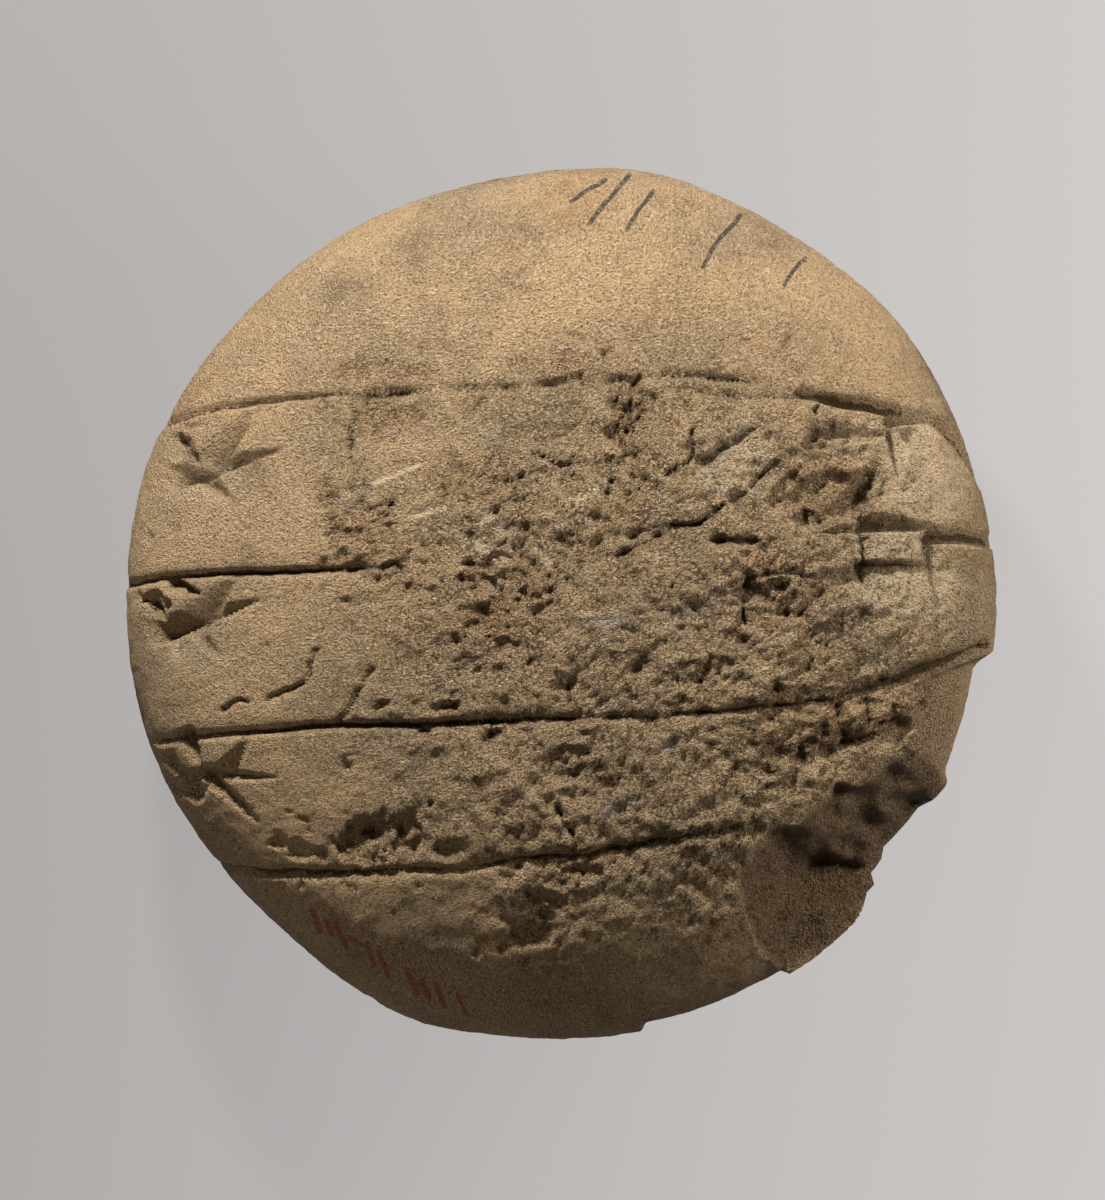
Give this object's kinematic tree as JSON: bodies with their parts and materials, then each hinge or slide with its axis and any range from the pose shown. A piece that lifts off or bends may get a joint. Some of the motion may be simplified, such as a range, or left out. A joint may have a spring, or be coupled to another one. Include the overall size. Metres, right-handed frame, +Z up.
{
  "type": "clay tablet",
  "caption": "Round bun-shaped clay tablet lying on its back: ruled lines, rows of pressed wedge strokes, flaked surface and one broken edge.",
  "frame": {"origin": "middle of the tablet's plan, on the surface that it lies on", "axes": "+Z up, out of the written side; +X along the ruled lines towards the broken side; +Y towards the first ruled line"},
  "size_m": [0.0836, 0.0836, 0.0322],
  "materials": {
    "clay": "dry, dull, unglazed buff clay with a sandy grain, darker dirt in the strokes and paler worn high spots"
  },
  "bodies": {
    "root": {"tablet": "clay"}
  },
  "joints": []
}
